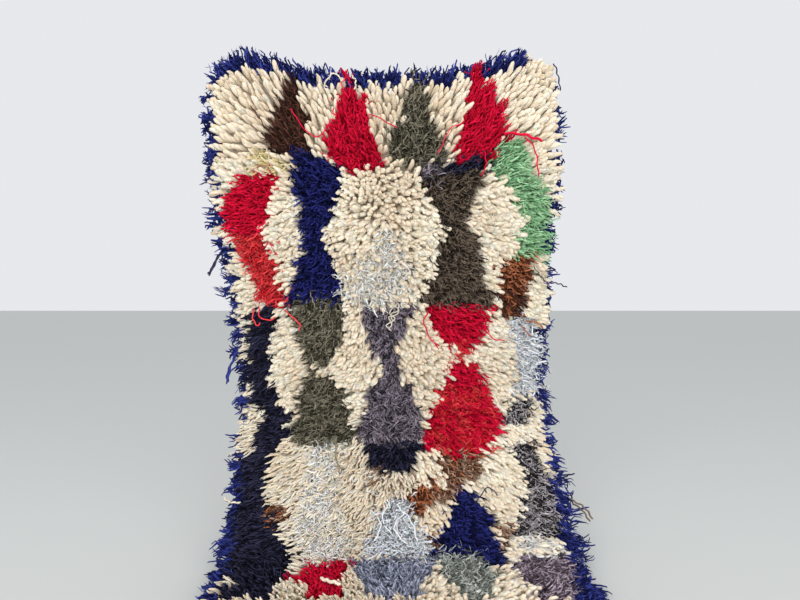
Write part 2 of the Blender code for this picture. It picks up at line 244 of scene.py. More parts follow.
# Each motif is a plain shape of one yarn: the yarn, the share of the knots there that take it, and then
# places along the rug, each with the shape's left and right edge there. A later one lies over the rest.
MOTIFS = (
    ("blue", 1, (-0.1, -0.45, 0.335), (0.008, -0.45, 0.335)),
    ("blue", 1, (-0.1, -0.45, -0.24), (0.012, -0.45, -0.26), (0.018, -0.45, -0.32)),
    ("blue", 1, (-0.1, 0.24, 0.34), (0.012, 0.26, 0.335), (0.018, 0.31, 0.33)),
    ("brown", 1, (0.0, -0.222, -0.205), (0.06, -0.242, -0.198), (0.15, -0.27, -0.178)),
    ("brown", 1, (0.15, -0.275, -0.178), (0.195, -0.29, -0.215)),
    ("crimson", 1, (-0.04, -0.096, -0.07), (0.004, -0.092, -0.072)),
    ("crimson", 1, (0.022, -0.074, -0.048), (0.05, -0.11, -0.04), (0.1, -0.112, -0.035)),
    ("crimson", 1, (0.095, -0.128, -0.065), (0.11, -0.132, -0.035), (0.165, -0.135, -0.03)),
    ("crimson", 1, (0.16, -0.135, -0.005), (0.19, -0.135, -0.006), (0.215, -0.09, -0.008)),
    ("olive", 1, (-0.05, 0.068, 0.082), (0.02, 0.066, 0.088), (0.04, 0.052, 0.112), (0.08, 0.05, 0.112),
        (0.1, 0.045, 0.11)),
    ("olive", 1, (0.1, 0.04, 0.12), (0.13, 0.022, 0.145), (0.195, 0.02, 0.162)),
    ("crimson", 1, (-0.04, 0.203, 0.222), (0.02, 0.206, 0.236), (0.06, 0.202, 0.268),
        (0.1, 0.192, 0.286), (0.155, 0.18, 0.302)),
    ("crimson", 1, (0.155, 0.182, 0.31), (0.175, 0.176, 0.28), (0.2, 0.182, 0.255)),
    ("straw", 0.9, (0.2, -0.306, -0.246), (0.252, -0.326, -0.236)),
    ("crimson", 1, (0.24, -0.342, -0.26), (0.27, -0.37, -0.26), (0.32, -0.408, -0.286),
        (0.38, -0.402, -0.304)),
    ("coral", 1, (0.38, -0.402, -0.304), (0.45, -0.38, -0.286), (0.58, -0.342, -0.272)),
    ("navy", 1, (0.168, -0.225, -0.2), (0.203, -0.225, -0.11)),
    ("navy", 1, (0.203, -0.225, -0.1), (0.26, -0.225, -0.108), (0.38, -0.205, -0.15),
        (0.5, -0.255, -0.125), (0.565, -0.28, -0.1)),
    ("blush", 0.85, (0.36, -0.015, 0.015), (0.46, -0.06, 0.04), (0.565, -0.1, 0.074)),
    ("blush", 0.5, (0.44, -0.12, 0.06), (0.565, -0.125, 0.078)),
    ("charcoal", 1, (0.2, 0.08, 0.255), (0.24, 0.08, 0.25), (0.31, 0.11, 0.21)),
    ("slate", 0.7, (0.195, 0.078, 0.15), (0.23, 0.08, 0.145)),
    ("midnight", 1, (0.198, 0.15, 0.255), (0.222, 0.145, 0.25)),
    ("charcoal", 1, (0.31, 0.115, 0.21), (0.36, 0.14, 0.205), (0.38, 0.13, 0.225)),
    ("charcoal", 1, (0.38, 0.125, 0.235), (0.48, 0.115, 0.25), (0.575, 0.075, 0.285)),
    ("mint", 1, (0.175, 0.285, 0.318), (0.202, 0.265, 0.358), (0.24, 0.28, 0.372), (0.27, 0.302, 0.396),
        (0.35, 0.345, 0.425), (0.41, 0.325, 0.425), (0.445, 0.33, 0.42)),
    ("rust", 1, (0.435, 0.31, 0.385), (0.47, 0.278, 0.375), (0.61, 0.295, 0.362)),
    ("brown", 0.6, (0.53, 0.285, 0.368), (0.61, 0.298, 0.36)),
    ("silver", 1, (0.61, 0.335, 0.385), (0.645, 0.32, 0.412), (0.69, 0.345, 0.428),
        (0.75, 0.345, 0.426), (0.815, 0.332, 0.415)),
    ("olive", 1, (0.555, -0.262, -0.105), (0.66, -0.255, -0.13), (0.73, -0.23, -0.175)),
    ("olive", 0.5, (0.73, -0.235, -0.175), (0.76, -0.24, -0.165)),
    ("olive", 1, (0.76, -0.24, -0.165), (0.81, -0.265, -0.135), (0.96, -0.295, -0.105)),
    ("slate", 1, (0.565, -0.07, 0.08), (0.66, -0.072, 0.036), (0.705, -0.048, 0.022)),
    ("slate", 1, (0.705, -0.03, 0.026), (0.75, -0.03, 0.02), (0.785, -0.06, 0.038)),
    ("slate", 1, (0.785, -0.066, 0.066), (0.92, -0.095, 0.075), (0.97, -0.095, 0.07)),
    ("midnight", 1, (0.965, -0.085, 0.07), (0.99, -0.08, 0.068), (1.03, -0.05, 0.04)),
    ("crimson", 1, (0.57, 0.105, 0.275), (0.61, 0.11, 0.27), (0.68, 0.15, 0.23)),
    ("coral", 0.6, (0.68, 0.155, 0.23), (0.72, 0.17, 0.22), (0.76, 0.15, 0.24)),
    ("crimson", 1, (0.73, 0.16, 0.235), (0.79, 0.14, 0.26), (0.85, 0.105, 0.275)),
    ("crimson", 1, (0.85, 0.105, 0.3), (0.89, 0.095, 0.31), (0.98, 0.07, 0.235)),
    ("coral", 0.3, (0.8, 0.13, 0.28), (0.98, 0.1, 0.26)),
    ("midnight", 1, (0.575, -0.37, -0.285), (0.65, -0.4, -0.32), (0.72, -0.43, -0.33),
        (0.83, -0.41, -0.33), (0.87, -0.375, -0.295), (0.92, -0.375, -0.285), (0.98, -0.42, -0.32)),
    ("midnight", 1, (0.98, -0.5, -0.33), (1.11, -0.5, -0.325), (1.19, -0.5, -0.27)),
    ("midnight", 1, (1.19, -0.5, -0.26), (1.28, -0.5, -0.24), (1.45, -0.5, -0.27)),
    ("ivory", 0.35, (1.36, -0.4, -0.35), (1.42, -0.4, -0.355)),
    ("ivory", 0.9, (0.68, -0.43, -0.395), (0.72, -0.43, -0.395)),
    ("ivory", 0.8, (0.8, -0.43, -0.39), (0.825, -0.43, -0.39)),
    ("ivory", 0.9, (0.85, -0.43, -0.375), (0.98, -0.425, -0.385)),
    ("pepper", 1, (0.82, 0.315, 0.405), (0.87, 0.305, 0.39), (0.9, 0.3, 0.355)),
    ("pepper", 1, (0.95, 0.315, 0.375), (1.03, 0.335, 0.395), (1.1, 0.335, 0.46)),
    ("pepper", 1, (1.1, 0.325, 0.46), (1.15, 0.29, 0.45), (1.195, 0.285, 0.445)),
    ("blush", 0.6, (1.195, 0.285, 0.44), (1.255, 0.275, 0.43)),
    ("pepper", 0.2, (1.195, 0.285, 0.44), (1.255, 0.275, 0.43)),
    ("rust", 1, (0.98, 0.12, 0.225), (1.06, 0.125, 0.205)),
    ("fawn", 0.6, (0.99, 0.12, 0.225), (1.06, 0.13, 0.205)),
    ("rust", 1, (1.06, 0.1, 0.175), (1.085, 0.025, 0.135), (1.1, 0.01, 0.1)),
    ("rust", 1, (1.1, 0.012, 0.09), (1.14, 0.022, 0.07)),
    ("fawn", 0.6, (1.06, 0.095, 0.175), (1.11, 0.075, 0.125)),
    ("fawn", 0.9, (1.16, 0.245, 0.285), (1.22, 0.24, 0.275)),
    ("fawn", 0.9, (1.18, 0.065, 0.105), (1.24, 0.06, 0.095)),
    ("rust", 0.9, (1.11, -0.33, -0.275), (1.16, -0.325, -0.27)),
    ("fawn", 0.5, (1.11, -0.33, -0.275), (1.16, -0.325, -0.27)),
    ("blush", 0.9, (0.96, -0.23, -0.15), (1.04, -0.225, -0.145)),
    ("blush", 0.5, (1.04, -0.225, -0.145), (1.11, -0.235, -0.14)),
    ("blush", 0.9, (1.11, -0.245, -0.13), (1.28, -0.235, -0.12)),
    ("blush", 0.5, (1.02, -0.095, -0.04), (1.09, -0.095, -0.035)),
    ("fawn", 0.3, (1.02, -0.095, -0.04), (1.09, -0.095, -0.035)),
    ("silver", 1, (1.09, -0.015, 0.022), (1.14, -0.045, 0.036), (1.26, -0.092, 0.074)),
    ("navy", 1, (1.08, 0.16, 0.188), (1.145, 0.12, 0.24), (1.2, 0.105, 0.236)),
    ("navy", 1, (1.2, 0.1, 0.24), (1.265, 0.07, 0.26)),
    ("navy", 1, (1.265, 0.19, 0.262), (1.295, 0.215, 0.262)),
    ("crimson", 1, (1.262, -0.135, -0.11), (1.29, -0.205, -0.115), (1.35, -0.275, -0.118)),
    ("crimson", 1, (1.35, -0.235, -0.12), (1.43, -0.19, -0.125)),
    ("steel", 1, (1.265, -0.095, 0.078), (1.31, -0.108, 0.07), (1.44, -0.06, 0.03)),
    ("sage", 1, (1.255, 0.098, 0.188), (1.31, 0.1, 0.22), (1.44, 0.13, 0.19)),
    ("mauve", 1, (1.245, 0.285, 0.42), (1.3, 0.264, 0.41), (1.44, 0.285, 0.375)),
    ("blue", 0.6, (0.06, -0.5, -0.409), (0.38, -0.5, -0.408)),
    ("blue", 0.9, (0.38, -0.5, -0.406), (0.62, -0.5, -0.408)),
    ("blue", 0.8, (0.62, -0.5, -0.412), (0.95, -0.5, -0.414), (1.05, -0.5, -0.405)),
    ("blue", 1, (1.05, -0.5, -0.405), (1.3, -0.5, -0.395), (1.62, -0.5, -0.39)),
    ("blue", 0.4, (0.22, 0.412, 0.5), (0.6, 0.412, 0.5)),
    ("blue", 0.95, (0.6, 0.409, 0.5), (1.05, 0.412, 0.5), (1.3, 0.402, 0.5)),
    ("blue", 1, (1.3, 0.4, 0.5), (1.44, 0.372, 0.5), (1.62, 0.38, 0.5)),
)


def smooth_step(x):
    """A ramp from 0 to 1 with soft ends."""
    x = np.clip(x, 0.0, 1.0)
    return x * x * (3 - 2 * x)


# The line along the rug on which the stations are eased and summed, which runs on past both ends
STEP = 0.005
PAST_ENDS = 0.10
EASED_STEPS = 3
LINE = np.arange(-PAST_ENDS, CLOTH_LENGTH + PAST_ENDS, STEP)


def eased(column):
    """One column of the stations all along the line, with its corners eased."""
    along = [station.along for station in STATIONS]
    values = [getattr(station, column) for station in STATIONS]
    offsets = np.arange(-EASED_STEPS, EASED_STEPS + 1) * STEP
    return np.mean([np.interp(LINE + off, along, values) for off in offsets], axis=0)


def summed(rate):
    """The running sum of a rate along the line, from the top edge."""
    middles = (rate[1:] + rate[:-1]) / 2 * STEP
    total = np.concatenate([[0.0], np.cumsum(middles)])
    return total - np.interp(0.0, LINE, total)


LEAN = np.radians(eased("lean"))
ROLL = eased("roll")
WIDTH = eased("width")
BACK = summed(-np.sin(LEAN))
RISE = summed(-np.cos(LEAN))


def folded(across, along):
    """How far the cloth's folds stand out at a place."""
    depth = np.zeros(np.shape(across))
    for fold in FOLDS:
        off = (along - fold.along - fold.slant * (across - fold.across)) / fold.spread
        side = (across - fold.across) / fold.reach
        depth += fold.depth * np.exp(-off * off - side**4)
    return depth


def hung(points):
    """Where points of the flat measure are in the hang. Both are arrays of three columns. The sides roll
    forward as the cube of their share of the width, and the pile turns with its slope.
    """
    across, along, up = points.T
    corner = smooth_step((np.abs(across) / HALF - CORNER_SHARE) / (1 - CORNER_SHARE))
    corner = corner * smooth_step(1 - along / CORNER_REACH)
    across = across - np.copysign(CORNER_ROUND * corner, across)
    along = along + CORNER_ROUND * corner
    lean = np.interp(along, LINE, LEAN)
    roll = np.interp(along, LINE, ROLL)
    share = across / HALF
    fade = smooth_step(1 - along / CORNER_FADE)
    zero = np.zeros_like(lean)
    down = np.stack([zero, -np.sin(lean), -np.cos(lean)])
    out = np.stack([zero, -np.cos(lean), np.sin(lean)])
    turn = np.arctan(3 * roll * share * np.abs(share) / HALF)
    pile_way = out * np.cos(turn) + np.stack([np.sin(turn), zero, zero])
    wide = across * np.interp(along, LINE, WIDTH) + DRIFT * smooth_step(along / CLOTH_LENGTH)
    place = np.stack([wide, np.interp(along, LINE, BACK), np.interp(along, LINE, RISE)])
    held = np.exp(-(((np.abs(share) - HELD_AT) / HELD_SPREAD) ** 2))
    place -= down * CORNER_RISE * held * fade
    place -= out * (roll * np.abs(share) ** 3 + folded(across, along))
    return (place + pile_way * up).T


def wander(noise, across, along):
    """A smooth noise from -1 to 1 over the rug."""
    lattice = np.random.default_rng(noise.seed).uniform(-1, 1, (NOISE_CELLS, NOISE_CELLS))
    x = np.asarray(across) / noise.size + NOISE_CELLS
    y = np.asarray(along) / noise.size + NOISE_CELLS
    column = np.floor(x).astype(int)
    row = np.floor(y).astype(int)
    x = smooth_step(x - column)
    y = smooth_step(y - row)
    left = column % NOISE_CELLS
    right = (column + 1) % NOISE_CELLS
    near, far = (
        lattice[line % NOISE_CELLS, left] * (1 - x) + lattice[line % NOISE_CELLS, right] * x
        for line in (row, row + 1)
    )
    return near * (1 - y) + far * y


def creased(across, along):
    """How far the pile at each place hangs over a crease, and how much of it is tucked into one."""
    over = np.zeros(np.shape(across))
    tuck = np.zeros(np.shape(across))
    for crease in CREASES:
        line = crease.along + crease.slant * across + CREASE_STRAY * wander(CREASE_LINE, across, along)
        off = (along - line) / CREASE_WIDTH
        side = np.exp(-(((across - crease.middle) / crease.reach) ** 4))
        over += crease.over * side * np.exp(-((off + OVER_ABOVE) ** 2))
        tuck += crease.tuck * side * np.exp(-((TUCK_NARROW * off - TUCK_BELOW) ** 2))
    return over, tuck


def lie_of_pile(across, along):
    """The pile's lean across and along at each place, as slopes."""
    rows = [lie.along for lie in LIES]
    share = across / HALF
    fan = np.interp(along, rows, [lie.fan for lie in LIES])
    down = np.interp(along, rows, [lie.down for lie in LIES])
    swirl = np.interp(along, rows, [lie.swirl for lie in LIES])
    rise = np.interp(along, rows, [lie.rise for lie in LIES])
    sideways = fan * np.sign(share) * np.abs(share) ** rise + swirl * wander(SWIRL_ACROSS, across, along)
    step = 0.004
    slope = (folded(across, along + step) - folded(across, along - step)) / (2 * step)
    over, _ = creased(across, along)
    return sideways, down + swirl * wander(SWIRL_ALONG, across, along) - FOLD_LEAN * slope + over


def yarn_of(across, along):
    """The number of the yarn at each place of the pattern."""
    ragged = across + RAGGED * wander(RAGGED_ACROSS, across, along)
    rough = along + RAGGED * wander(RAGGED_ALONG, across, along)
    luck = wander(KNOT_LUCK, across, along)
    luck = luck.argsort().argsort() / len(luck)
    chosen = np.full(len(across), NUMBER["ivory"])
    for yarn, share, *spans in MOTIFS:
        rows, lefts, rights = zip(*spans)
        inside = (rough >= rows[0]) & (rough < rows[-1])
        inside &= (ragged > np.interp(rough, rows, lefts)) & (ragged < np.interp(rough, rows, rights))
        chosen[inside & (luck < share)] = NUMBER[yarn]
    return chosen


def tied_knots():
    """The knots of the pile: their places across and along with their lean, and their yarns' numbers."""
    rng = np.random.default_rng(KNOT_SEED)
    columns = int((CLOTH_WIDTH - 2 * EDGE_MARGIN) / KNOT_PITCH)
    rows = int((CLOTH_LENGTH - 2 * EDGE_MARGIN) / ROW_PITCH)
    across, along = np.meshgrid(
        np.linspace(-1, 1, columns) * (HALF - EDGE_MARGIN),
        np.linspace(EDGE_MARGIN, CLOTH_LENGTH - EDGE_MARGIN, rows),
    )
    across[::2] += KNOT_PITCH / 4
    across[1::2] -= KNOT_PITCH / 4
    across = across.ravel() + rng.normal(0, KNOT_STRAY, across.size)
    along = along.ravel() + rng.normal(0, KNOT_STRAY, along.size)
    sideways, down = lie_of_pile(across, along)
    reach = OVERHANG * PILE_LENGTH / np.sqrt(1 + sideways**2 + down**2)
    yarn_numbers = yarn_of(across + sideways * reach, along + down * reach)
    return np.stack([across, along, sideways, down]), yarn_numbers


def drawn_out(roots, lean, length, steps, bend):
    """The spines of strands from their roots: upright at the root, and leaning more towards the tip."""
    spines = np.empty((len(roots), len(steps), 3))
    place = roots.copy()
    before = 0.0
    for index, share in enumerate(steps):
        middle = (before + share) / 2
        way = np.ones((len(roots), 3))
        way[:, :2] = lean * (bend[0] + (bend[1] - bend[0]) * middle)
        way /= np.linalg.norm(way, axis=1, keepdims=True)
        place = place + way * (length * (share - before))[:, None]
        spines[:, index] = place
        before = share
    return spines


def curled(spines, steps, size, rng, turns=MILD_TURNS, owner=None):
    """The spines with a wave of that size, which grows from the root to the middle. Strands of one owner
    wave alike.
    """
    owner = np.arange(len(spines)) if owner is None else owner
    turns = rng.uniform(turns - TURNS_SPREAD, turns + TURNS_SPREAD, (owner[-1] + 1, 1, 3))[owner]
    phase = rng.uniform(0, 2 * math.pi, (owner[-1] + 1, 1, 3))[owner]
    share = np.asarray(steps)[None, :, None]
    wave = np.sin(2 * math.pi * turns * share + phase) - np.sin(phase)
    wave[:, :, 2] *= WAVE_UP
    return spines + size * wave * np.minimum(1, 2 * share)


def put_in(name, data):
    """A new object in the scene, with this mesh, light or camera."""
    thing = bpy.data.objects.new(name, data)
    bpy.context.collection.objects.link(thing)
    return thing


def tube_faces(steps, sides, shares):
    """The walls and the cap of one tube, and where their corners are in a unit square when unrolled."""
    walls = []
    wall_map = []
    for level in range(steps - 2):
        for corner in range(sides):
            after = (corner + 1) % sides
            below = level * sides
            above = below + sides
            walls.append((below + corner, below + after, above + after, above + corner))
            low = shares[level]
            high = shares[level + 1]
            wall_map.append(((corner, low), (corner + 1, low), (corner + 1, high), (corner, high)))
    last = (steps - 2) * sides
    tip = last + sides
    caps = []
    cap_map = []
    for corner in range(sides):
        caps.append((last + corner, last + (corner + 1) % sides, tip))
        cap_map.append(((corner, shares[-2]), (corner + 1, shares[-2]), (corner + 0.5, 1.0)))
    return np.array(walls), np.array(caps), np.array(wall_map) / (sides, 1), np.array(cap_map) / (sides, 1)


def tubes(name, spines, radii, shares, flatness, sides, tints, wide_way=None):
    """One mesh of tubes along the spines, open at the root and drawn to a point at the tip.

    Each point keeps its strand's tint, its reach from root to tip, and a place for the fibres' grain.
    """
    count, steps, _ = spines.shape
    ahead = np.gradient(spines, axis=1)
    ahead /= np.linalg.norm(ahead, axis=2, keepdims=True)
    if wide_way is None:
        wide_way = np.random.default_rng(count).normal(0, 1, (count, 3))
    side = wide_way[:, None, :] - np.sum(wide_way[:, None, :] * ahead, axis=2, keepdims=True) * ahead
    side /= np.linalg.norm(side, axis=2, keepdims=True)
    other = np.cross(ahead, side)
    angle = np.arange(sides) * 2 * math.pi / sides
    cosine = np.cos(angle)[None, None, :, None]
    sine = np.sin(angle)[None, None, :, None]
    rings = cosine * side[:, :-1, None] + flatness * sine * other[:, :-1, None]
    lumps = np.random.default_rng(count + 1).uniform(1 - LUMPY, 1 + LUMPY, (*rings.shape[:3], 1))
    rings = spines[:, :-1, None] + rings * radii[:, :-1, None, None] * lumps
    flat = np.concatenate([rings.reshape(count, -1, 3), spines[:, -1:]], axis=1).reshape(-1, 3)
    own = (steps - 1) * sides + 1
    wall, cap, wall_map, cap_map = tube_faces(steps, sides, shares)
    start = np.arange(count)[:, None, None] * own
    walls = (start + wall).reshape(-1)
    caps = (start + cap).reshape(-1)
    mesh = bpy.data.meshes.new(name)
    mesh.vertices.add(len(flat))
    mesh.vertices.foreach_set("co", hung(flat).ravel())
    mesh.loops.add(len(walls) + len(caps))
    mesh.loops.foreach_set("vertex_index", np.concatenate([walls, caps]))
    sizes = np.concatenate([np.full(len(walls) // 4, 4), np.full(len(caps) // 3, 3)])
    mesh.polygons.add(len(sizes))
    mesh.polygons.foreach_set("loop_start", np.concatenate([[0], np.cumsum(sizes)[:-1]]))
    mesh.polygons.foreach_set("use_smooth", np.ones(len(sizes), dtype=bool))
    mesh.update(calc_edges=True)
    reach = np.concatenate([np.repeat(shares[:-1], sides), [1.0]])
    give(mesh, "reach", "FLOAT", np.tile(reach, count))
    give(mesh, "tint", "FLOAT", np.repeat(tints, own))
    grain = np.empty((count, own, 3))
    grain[:, :, 0] = np.concatenate([np.tile(np.cos(angle), steps - 1), [1.0]])
    grain[:, :, 1] = np.concatenate([np.tile(np.sin(angle), steps - 1), [0.0]])
    grain[:, :, 2] = reach + GRAIN_APART * np.arange(count)[:, None]
    give(mesh, "grain", "FLOAT_VECTOR", grain.ravel())
    lay_out(mesh, count, wall_map, cap_map)
    return put_in(name, mesh)


def lay_out(mesh, count, wall_map, cap_map):
    """A map with every strand unrolled in a cell of its own, for textures to be baked on."""
    cells = math.ceil(math.sqrt(count))
    number = np.arange(count)
    corner = np.stack([number % cells, number // cells], axis=1)[:, None, None, :]
    inner = 1 - 2 * CELL_MARGIN
    walls = (corner + CELL_MARGIN + inner * wall_map[None]) / cells
    caps = (corner + CELL_MARGIN + inner * cap_map[None]) / cells
    layer = mesh.uv_layers.new(name="OFBake")
    both = np.concatenate([walls.reshape(-1), caps.reshape(-1)]).astype(np.float32)
    layer.data.foreach_set("uv", both)


def give(mesh, name, kind, values, domain="POINT"):
    """Sets one attribute of a mesh."""
    field = {"FLOAT": "value", "FLOAT_VECTOR": "vector", "FLOAT_COLOR": "color"}[kind]
    mesh.attributes.new(name, kind, domain).data.foreach_set(field, np.ascontiguousarray(values))


# The points along a lobe, a strand and a curling strand, from root to tip, and the width at each
LOBE_STEPS = (0.0, 0.30, 0.58, 0.80, 0.94, 1.0)
STRAND_STEPS = (0.0, 0.35, 0.65, 0.90, 1.0)
STRAND_SHAPE = (0.90, 1.00, 1.00, 0.86, 0.0)
CURL_STEPS = (0.0, 0.20, 0.40, 0.60, 0.80, 0.94, 1.0)
CURL_SHAPE = (1.00, 1.00, 1.00, 0.95, 0.80, 0.55, 0.0)

# How uneven lengths and widths are: their spread, and the least and most share of the full size
LOBE_LENGTHS = (0.10, 0.75, 1.25)
LOBE_WIDTHS = (0.12, 0.7, 1.3)
STRAND_LENGTHS = (0.14, 0.6, 1.35)
STRAND_WIDTHS = (0.75, 1.2)

# The lobes of one knot: how far apart they are tied in pitches, how far each is turned, how much their
# height varies over the rug, their least height, and how their tone varies
LOBES_APART = 0.30
LOBE_TURN = 0.6
HEIGHT_SPREAD = 0.10
LEAST_HEIGHT = 0.15
LOBE_TINT = 0.5
TINT_SPREAD = 0.20
TONE_SPREAD = 0.3

# The strands of one knot: how far apart they are tied, how far the bunch leans, how long the hairs are
# beside them, and their tints. Those past the middle are split off as light ones.
STRANDS_APART = 0.0038
BUNCH_LEAN = 0.18
HAIR_LENGTH = 1.12
STRAND_TINTS = (0, 0.95)
HAIR_TINTS = (1.0, 1.7)
LIGHT_TINT = 1.15
DARK_TINT = -0.1


def uneven(rng, count, spread, least, most):
    """Shares round 1, within the least and the most."""
    return (1 + spread * rng.normal(0, 1, count)).clip(least, most)


def started(knots, owner):
    """The roots of strands tied in their owners' knots, and their lean across and along."""
    across, along, sideways, down = knots[:, owner]
    roots = np.stack([across, along, np.full(len(owner), CLOTH_THICK / 2)], axis=1)
    return roots, np.stack([sideways, down], axis=1)


def tie_lobes(lobe, knots, height):
    """Plump wool: soft lobes, a little flat, which taper and round off at their tips. Height is each
    knot's share of the full length.
    """
    rng = np.random.default_rng(LOBE_SEED)
    across, along = knots[:2]
    owner = np.repeat(np.arange(len(across)), lobe.lobes)
    count = len(owner)
    roots, lean = started(knots, owner)
    apart = 0.0 if lobe.lobes == 1 else LOBES_APART
    roots[:, 0] += rng.normal(0, apart * KNOT_PITCH, count)
    roots[:, 1] += rng.normal(0, apart * ROW_PITCH, count)
    lean += rng.normal(0, lobe.spread, (count, 2))
    length = lobe.length * uneven(rng, count, *LOBE_LENGTHS)
    height = height + HEIGHT_SPREAD * wander(LOBE_HEIGHT, across, along) - creased(across, along)[1]
    length *= height[owner].clip(LEAST_HEIGHT)
    spines = drawn_out(roots, lean, length, LOBE_STEPS, (ROOT_BEND, lobe.tip_bend))
    spines = curled(spines, LOBE_STEPS, lobe.wave, rng)
    width = lobe.width * uneven(rng, count, *LOBE_WIDTHS)
    radii = np.asarray(lobe.shape)[None] * width[:, None] / 2
    angle = rng.normal(0, LOBE_TURN, count)
    wide_way = np.stack([np.cos(angle), np.sin(angle), np.zeros(count)], axis=1)
    tints = LOBE_TINT + TINT_SPREAD * rng.normal(0, 1, count)
    tints = tints + TONE_SPREAD * wander(LOBE_TONE, across, along)[owner]
    name = "pile_ivory_" + lobe.zone
    return tubes(name, spines, radii, LOBE_STEPS, LOBE_FLATNESS, lobe.sides, tints, wide_way)


def tie_strands(yarn, knots, seed):
    """Loose yarn: a bunch of strands a knot, which part and curl, with a few pale hairs astray."""
    rng = np.random.default_rng(seed)
    across, along = knots[:2]
    each = yarn.strands + yarn.hairs
    owner = np.repeat(np.arange(len(across)), each)
    hair = np.tile(np.arange(each) >= yarn.strands, len(across))
    count = len(owner)
    roots, lean = started(knots, owner)
    roots[:, :2] += rng.normal(0, STRANDS_APART, (count, 2))
    lean += rng.normal(0, BUNCH_LEAN, (len(across), 2))[owner]
    spread = yarn.spread * np.where(hair, HAIR_SPREAD, 1.0)
    lean += rng.normal(0, 1, (count, 2)) * spread[:, None]
    length = yarn.length * uneven(rng, count, *STRAND_LENGTHS) * np.where(hair, HAIR_LENGTH, 1.0)
    length *= 1 - creased(across, along)[1][owner]
    curly = yarn.turns > CURLY_FROM
    steps = CURL_STEPS if curly else STRAND_STEPS
    spines = drawn_out(roots, lean, length, steps, (ROOT_BEND, TIP_BEND))
    spines = curled(spines, steps, yarn.wave, rng, yarn.turns)
    width = yarn.width * rng.uniform(*STRAND_WIDTHS, count) * np.where(hair, HAIR_WIDTH, 1.0)
    radii = np.asarray(CURL_SHAPE if curly else STRAND_SHAPE)[None] * width[:, None] / 2
    tints = rng.uniform(*STRAND_TINTS, count)
    # Partly painted shade and highlight: the split makes some strands dark as if shaded, others light as
    # if lit
    tints += yarn.split * (np.where(tints > 0.5, LIGHT_TINT, DARK_TINT) - tints)
    tints = np.where(hair, rng.uniform(*HAIR_TINTS, count), tints)
    return tubes("pile_" + yarn.name, spines, radii, steps, 1.0, STRAND_SIDES, tints)


def feed(tree, made, inputs):
    """Gives a node's inputs their values, or links them where the value is another node's output."""
    for name, value in inputs.items():
        if isinstance(value, bpy.types.NodeSocket):
            tree.links.new(value, made.inputs[name])
        else:
            made.inputs[name].default_value = value


def node(tree, kind, inputs=None, **settings):
    """A new shader node with its settings and inputs."""
    made = tree.nodes.new("ShaderNode" + kind)
    for name, value in settings.items():
        setattr(made, name, value)
    feed(tree, made, inputs or {})
    return made


def attribute(tree, name, output):
    """One of the mesh's attributes, as a node's output."""
    return node(tree, "Attribute", attribute_name=name).outputs[output]


def worked_out(tree, operation, *values):
    """The output of a sum on these values."""
    return node(tree, "Math", dict(enumerate(values)), operation=operation).outputs[0]


def mapped(tree, value, inputs, **settings):
    """The output of a value's map to another range."""
    return node(tree, "MapRange", {"Value": value, **inputs}, **settings).outputs["Result"]


def mixed(tree, blend, factor, first, second, **settings):
    """The output of a mix of two colours."""
    inputs = {"Factor": factor, "A": first, "B": second}
    return node(tree, "Mix", inputs, data_type="RGBA", blend_type=blend, **settings).outputs["Result"]


def new_material(name, inputs):
    """A material, its tree and its shader, with these values on the shader's own sockets."""
    material = bpy.data.materials.new(name)
    material.use_nodes = True
    shader = material.node_tree.nodes["Principled BSDF"]
    feed(material.node_tree, shader, inputs)
    return material, material.node_tree, shader


# The yarn's surface: soft and dull, with light that goes through the pale ones
WOOL = {"Roughness": 0.9, "Specular IOR Level": 0.15, "Sheen Weight": 0.10, "Sheen Roughness": 0.5}
GLOW = {"Subsurface Weight": 0.45, "Subsurface Radius": (1.0, 0.62, 0.36), "Subsurface Scale": 0.006}
WOOL_RELIEF = 0.0018
STRAND_RELIEF = 0.0014

# The mix of a yarn's dark and light colours: how much of it goes by strand, where that starts, and how
# much goes by fibre. Then how fast the plies turn, and how high they stand beside the fibres.
BY_STRAND = 0.8
STRAND_START = -0.35
BY_FIBRE = 0.8
PLY_TURNS = 4.0
PLY_HEIGHT = 0.6


def yarn_material(name, yarn, relief):
    """Wool: its tint from strand to strand, painted shade that darkens it towards the root, the grain of
    its fibres, and the groove between its two plies, bumped in and painted darker as shade.
    """
    material, tree, shader = new_material(name, {**WOOL, "Sheen Tint": (*yarn.light, 1)})
    if yarn.name in GLOWING:
        feed(tree, shader, GLOW)
    grain = attribute(tree, "grain", "Vector")
    fibres = node(tree, "TexNoise", {"Vector": grain, "Scale": 3.2, "Detail": 3.0}).outputs["Fac"]
    spread = worked_out(tree, "MULTIPLY_ADD", attribute(tree, "tint", "Fac"), BY_STRAND, STRAND_START)
    blend = worked_out(tree, "MULTIPLY_ADD", fibres, BY_FIBRE, spread)
    ends = ((*yarn.dark, 1), (*yarn.light, 1))
    colour = mixed(tree, "MIX", blend, *ends, clamp_factor=False, clamp_result=True)
    # Painted shade: the colour is darkened towards the root of each strand, deep in the pile
    depth = mapped(tree, attribute(tree, "reach", "Fac"), {"From Max": 0.55, "To Min": 0.90})
    shade = mixed(tree, "MULTIPLY", 1.0, colour, depth)
    far = node(tree, "SeparateXYZ", {"Vector": grain}).outputs["Z"]
    turn = worked_out(tree, "MULTIPLY", far, PLY_TURNS)
    twist = node(tree, "VectorRotate", {"Vector": grain, "Angle": turn}, rotation_type="Z_AXIS")
    turned = node(tree, "SeparateXYZ", {"Vector": twist.outputs["Vector"]})
    side = worked_out(tree, "ABSOLUTE", turned.outputs["X"])
    ply = mapped(tree, side, {"From Max": 0.45}, interpolation_type="SMOOTHSTEP")
    # Painted shade: the colour is darkened in the groove between the plies, beside the bump that sinks it
    groove = mapped(tree, ply, {"To Min": 0.80})
    groove_shaded = mixed(tree, "MULTIPLY", 1.0, shade, groove)
    height = worked_out(tree, "MULTIPLY_ADD", ply, PLY_HEIGHT, fibres)
    bump = node(tree, "Bump", {"Strength": 0.6, "Distance": relief, "Height": height})
    feed(tree, shader, {"Base Color": groove_shaded, "Normal": bump.outputs["Normal"]})
    return material


